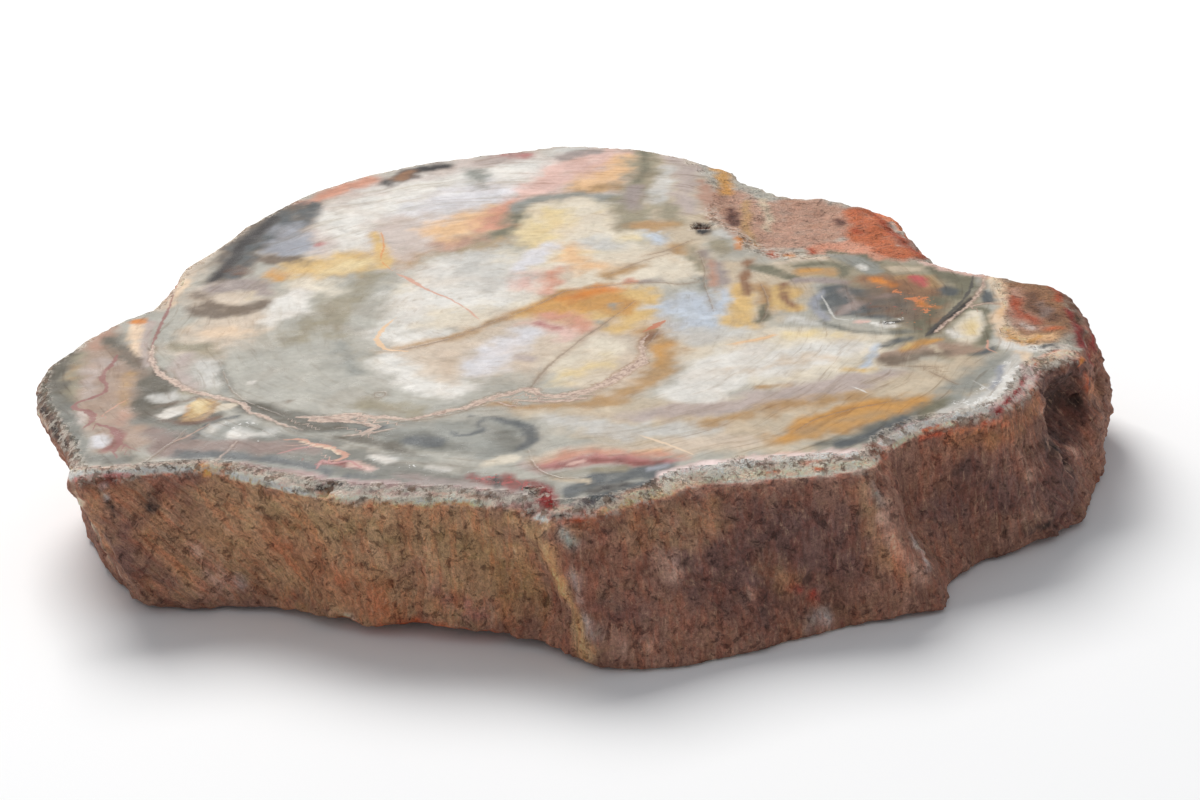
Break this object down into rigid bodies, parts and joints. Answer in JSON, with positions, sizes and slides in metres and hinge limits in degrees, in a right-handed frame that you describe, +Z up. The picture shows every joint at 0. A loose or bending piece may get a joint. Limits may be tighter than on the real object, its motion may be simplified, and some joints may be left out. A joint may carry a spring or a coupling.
{
  "type": "petrified wood slice",
  "caption": "Slice of petrified wood that lies flat, with a polished banded face, a chipped rim, a sunken broken patch and rough bark-like sides.",
  "frame": {"origin": "middle of the slice's bounding box in plan, at the height of the flat underside that it rests on", "axes": "+Z up out of the polished face, -Y towards the side with the tall front ridge, +X towards the rough corner"},
  "size_m": [0.1075, 0.1011, 0.015],
  "materials": {
    "petrified_wood": "polished on the upper face, rough on the sides, sawn matt underneath"
  },
  "bodies": {
    "root": {"petrified_wood_slice": "petrified_wood"}
  },
  "joints": []
}
